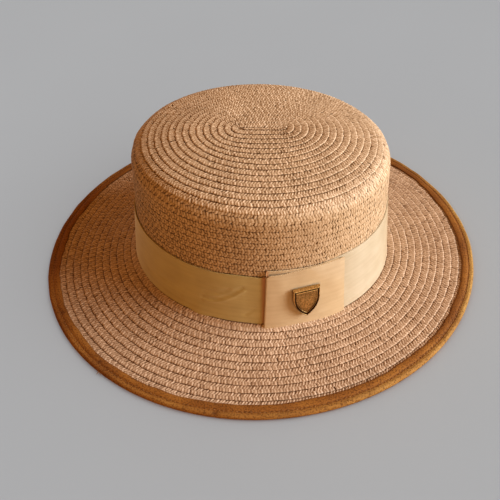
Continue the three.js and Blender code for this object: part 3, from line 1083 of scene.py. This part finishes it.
# From the middle of the pin's back out and over to the middle of its face: scale, level and patina
BADGE_RINGS = [
    (0.0, 0.0, 0.6), (0.98, 0.0, 0.8), (1.0, 0.3, 0.5), (0.99, 1.6, 0.25), (0.96, 2.5, 0.1),
    (0.945, 2.8, 0.0), (0.9, 2.95, 0.0), (0.885, 2.8, 0.6), (0.875, 2.35, 1.0), (0.8, 2.3, 1.0),
    (0.79, 2.6, 0.3), (0.775, 2.75, 0.0), (0.735, 2.75, 0.0), (0.715, 2.5, 0.5), (0.66, 2.4, 0.35),
    (0.35, 2.65, 0.15), (0.0, 2.85, 0.1),
]
BADGE_EDGE = math.radians(40)
BADGE_OFF = 2.4


def shield_outline(steps):
    """Outline from the tip: curved lower sides, straight upper sides and a level top."""
    t = np.linspace(0, 1, steps, endpoint=False)
    tip, bulge = (0, BADGE_TIP), (BADGE_HALF, BADGE_TIP / 2)
    side = (BADGE_HALF, BADGE_SIDE_STRAIGHT)
    weights = stacked((1 - t) ** 2, 2 * t * (1 - t), t**2)
    lower = weights @ np.array([tip, bulge, side])
    upright = stacked(BADGE_HALF, lerp(BADGE_SIDE_STRAIGHT, BADGE_TOP, t))
    level = stacked(lerp(BADGE_HALF, 0, t), BADGE_TOP)
    right = np.concatenate([lower, upright, level])
    left = np.concatenate([[[0, BADGE_TOP]], right[:0:-1] * (-1, 1)])
    return np.concatenate([right, left])


def badge(material):
    """Shield pin with a sloping side, a bright lip, a dark groove and a plain field with a low keel."""
    outline = shield_outline(14)
    scale, level, patina = np.array(BADGE_RINGS).T
    x, y = outline.T[:, :, None]
    local = stacked(x * scale, y * scale, level)
    # The outer rings, from the side to the field's edge, are darker towards the bottom
    darkening = 0.6 * smoothstep(-outline[:, 1], -4, 6)[:, None] * (scale > 0.7)
    step = math.radians(1)

    def face(height, angle):
        """Place where the pin's back lies on the tab."""
        return crown_point(band_half_width(height, angle) + RIBBON + BADGE_OFF, height, angle)

    centre = face(BADGE_HEIGHT, BADGE_ANGLE)
    across = face(BADGE_HEIGHT, BADGE_ANGLE + step) - centre
    up = unit(face(BADGE_HEIGHT + 1, BADGE_ANGLE) - centre)
    outward = unit(np.cross(across, up))
    basis = np.stack([np.cross(up, outward), up, outward])
    points = centre + local.reshape(-1, 3) @ basis
    faces = grid_faces(len(outline), len(scale), wrap_rows=True)
    colour_marks = {"patina": np.clip(patina + darkening, 0, 1)}
    make_piece("shield_pin", points, faces, material, "badge", colour_marks, weld=True, crisp=BADGE_EDGE)


# Stage

WARM_FILL = (1.0, 0.485, 0.125, 1)
FILL_STRENGTH = 0.45
BACKDROP = (0.48, 0.49, 0.5, 1)
FLOOR_REACH = 6.0
MIDDLE, NEAR_SIDE = (0, 0, 0.05), (0, -0.2, 0.05)

# Lamps for the hat, in metres: place, target, size, watts, colour and spread
LAMPS = {
    "window": ((1.21, -0.29, 0.6), NEAR_SIDE, (1.0, 1.0), 11.4, (0.88, 1.0, 1.13), math.radians(90)),
    "warm_card": ((0.1, -1.2, 0.12), MIDDLE, (0.9, 0.3), 2.8, (1.0, 0.72, 0.42), math.pi),
    "rear_window": ((-0.9, 1.45, 0.14), MIDDLE, (1.6, 0.5), 4, (0.95, 1.0, 1.05), math.pi),
}

# Distant lights for the floor alone: where from, spread, the level that white facing it shows, and colour
FLOOR_LIGHTS = {
    "floor_sky": ((0, 0, 1), math.pi, 0.51, (0.2, 0.66, 1.0)),
    "floor_key": ((0.7, -0.35, 1), math.radians(70), 0.3, WHITE),
}

# The photo's camera: width and focal length in pixels, distance in mm, and the origin's place in pixels
PIXELS = 500
FOCAL = 620.0
DISTANCE = 523.886
ELEVATION = math.radians(46.779)
ROLL = math.radians(-2.971)
ORIGIN_ACROSS, ORIGIN_DOWN = 259.032, 246.801
SENSOR = 36
VIEW_GAMMA = 0.85


def pale_floor():
    """A plain floor that the hat stands on, which casts no light back on it."""
    mesh = bpy.data.meshes.new("floor")
    corners = [(x * FLOOR_REACH, y * FLOOR_REACH, 0) for x, y in ((-1, -1), (1, -1), (1, 1), (-1, 1))]
    mesh.from_pydata(corners, [], [(0, 1, 2, 3)])
    mesh.materials.append(floor_material())
    floor = placed("floor", mesh)
    floor.visible_diffuse = False
    return floor


def receivers(name, floor, state):
    """Things that a light reaches: the floor alone, or all but the floor."""
    group = bpy.data.collections.new(name)
    group.objects.link(floor)
    group.collection_objects[0].light_linking.link_state = state
    return group


def lamp(name, kind, group, colour, power, heading, place=(0, 0, 0), **settings):
    """A light that shines along a heading, reaches a group of things and isn't seen itself."""
    light = bpy.data.lights.new(name, kind)
    light.color = colour
    light.energy = power
    for key, value in settings.items():
        setattr(light, key, value)
    made = placed(name, light)
    made.location = place
    made.rotation_euler = heading.to_track_quat("-Z", "Y").to_euler()
    made.visible_camera = False
    made.light_linking.receiver_collection = group


def studio_world():
    """Warm light from all round, in front of a plain pale backdrop."""
    world = bpy.data.worlds.new("studio")
    world.use_nodes = True
    tree = world.node_tree
    fill = tree.nodes["Background"]
    fill.inputs["Color"].default_value = WARM_FILL
    fill.inputs["Strength"].default_value = FILL_STRENGTH
    kinds = ("Background", "MixShader", "LightPath")
    backdrop, choice, path = (tree.nodes.new("ShaderNode" + kind) for kind in kinds)
    backdrop.inputs["Color"].default_value = BACKDROP
    tree.links.new(path.outputs["Is Camera Ray"], choice.inputs["Fac"])
    tree.links.new(fill.outputs["Background"], choice.inputs[1])
    tree.links.new(backdrop.outputs["Background"], choice.inputs[2])
    tree.links.new(choice.outputs["Shader"], tree.nodes["World Output"].inputs["Surface"])
    bpy.context.scene.world = world


def lights(floor):
    """A cool window at the front, a weaker one behind, a warm card on the near side and an even floor."""
    studio_world()
    hat = receivers("all_but_floor", floor, "EXCLUDE")
    for name, (place, target, (across, up), watts, colour, spread) in LAMPS.items():
        heading = Vector(target) - Vector(place)
        panel = dict(shape="RECTANGLE", size=across, size_y=up, spread=spread)
        lamp(name, "AREA", hat, colour, watts, heading, place, **panel)
    floor_alone = receivers("floor_alone", floor, "INCLUDE")
    for name, (source, spread, level, colour) in FLOOR_LIGHTS.items():
        lamp(name, "SUN", floor_alone, colour, math.pi * level, -Vector(source), angle=spread)


def camera():
    """The photo's camera, turned by its elevation and roll and moved until the origin is in its place."""
    lens = bpy.data.cameras.new("camera")
    lens.sensor_width = SENSOR
    lens.lens = FOCAL / PIXELS * SENSOR
    eye = placed("camera", lens)
    turned = Matrix.Rotation(math.pi / 2 - ELEVATION, 4, "X") @ Matrix.Rotation(ROLL, 4, "Z")
    right, down = (ORIGIN_ACROSS - PIXELS / 2) / FOCAL, (ORIGIN_DOWN - PIXELS / 2) / FOCAL
    eye.matrix_world = turned @ Matrix.Translation(DISTANCE * MM * Vector((-right, down, 1)))
    bpy.context.scene.camera = eye


# Rows of the spirals, in turns
TOP_START = -0.05
SHOULDER_SHARE = 0.68
WALL_ROWS = 10.2
BRIM_START = -1.05
BRIM_MIDDLE = 5.0
TUCKED_UNDER = 0.5
CROWN_LINING_START = 0.3
BRIM_LINING_START = -1.3


def build():
    """All pieces of the hat, the stage and the camera."""
    crown_straw = straw_material("straw_crown", CROWN_STRAW, flecked=1.0)
    wall_straw = straw_material("straw_wall", WALL_STRAW, flecked=0.9)
    brim_straw = straw_material("straw_brim", BRIM_STRAW, flecked=1.0)
    shells(shell_material())
    top = Course(crown_surface, TOP_FIRST_EDGE, TOP_PITCH, slit_side)
    shoulder = top.turn_at(lerp(DOME_LENGTH, CAP_LENGTH, SHOULDER_SHARE))
    wall = top.turn_at(CAP_LENGTH)
    foot = wall + WALL_ROWS
    braid("crown_top_braid", "crown", crown_straw, top, TOP_START, shoulder, TOP_WEAVE, seed=11)
    braid("crown_shoulder_braid", "crown", wall_straw, top, shoulder, wall, SHOULDER_WEAVE, seed=15)
    braid("crown_wall_braid", "crown", wall_straw, top, wall, foot, WALL_WEAVE, seed=12)
    rim = Course(brim_face, BRIM_FIRST_EDGE, BRIM_PITCH, brim_foot)
    covered = rim.turn_at(BINDING_START + BRIM_PITCH + TUCKED_UNDER)
    braid("brim_inner_braid", "brim", brim_straw, rim, BRIM_START, BRIM_MIDDLE, BRIM_WEAVE, seed=13)
    braid("brim_outer_braid", "brim", brim_straw, rim, BRIM_MIDDLE, covered, BRIM_WEAVE, seed=14)
    under = lining_material()
    inside = Course(crown_inside, TOP_FIRST_EDGE, TOP_PITCH, slit_side)
    last = top.turn_at(FOOT_LENGTH + TOP_PITCH)
    lining("crown_lining", "crown", under, inside, CROWN_LINING_START, last, per_turn=160)
    under_rim = Course(brim_surface, BRIM_FIRST_EDGE, BRIM_PITCH, brim_foot)
    hidden = rim.turn_at(BRIM_HALF - BINDING_UNDER + BRIM_PITCH)
    lining("brim_lining", "brim", under, under_rim, BRIM_LINING_START, hidden, per_turn=240)
    binding(tape_material())
    seam(thread_material())
    band(ribbon_material("ribbon_satin", SHADED_BAND_SATIN, LIT_BAND_SATIN))
    tab(ribbon_material("tab_satin", TAB_SATIN))
    badge(brass_material())
    lights(pale_floor())
    camera()
    bpy.context.scene.view_settings.view_transform = "Standard"
    bpy.context.scene.view_settings.gamma = VIEW_GAMMA


build()
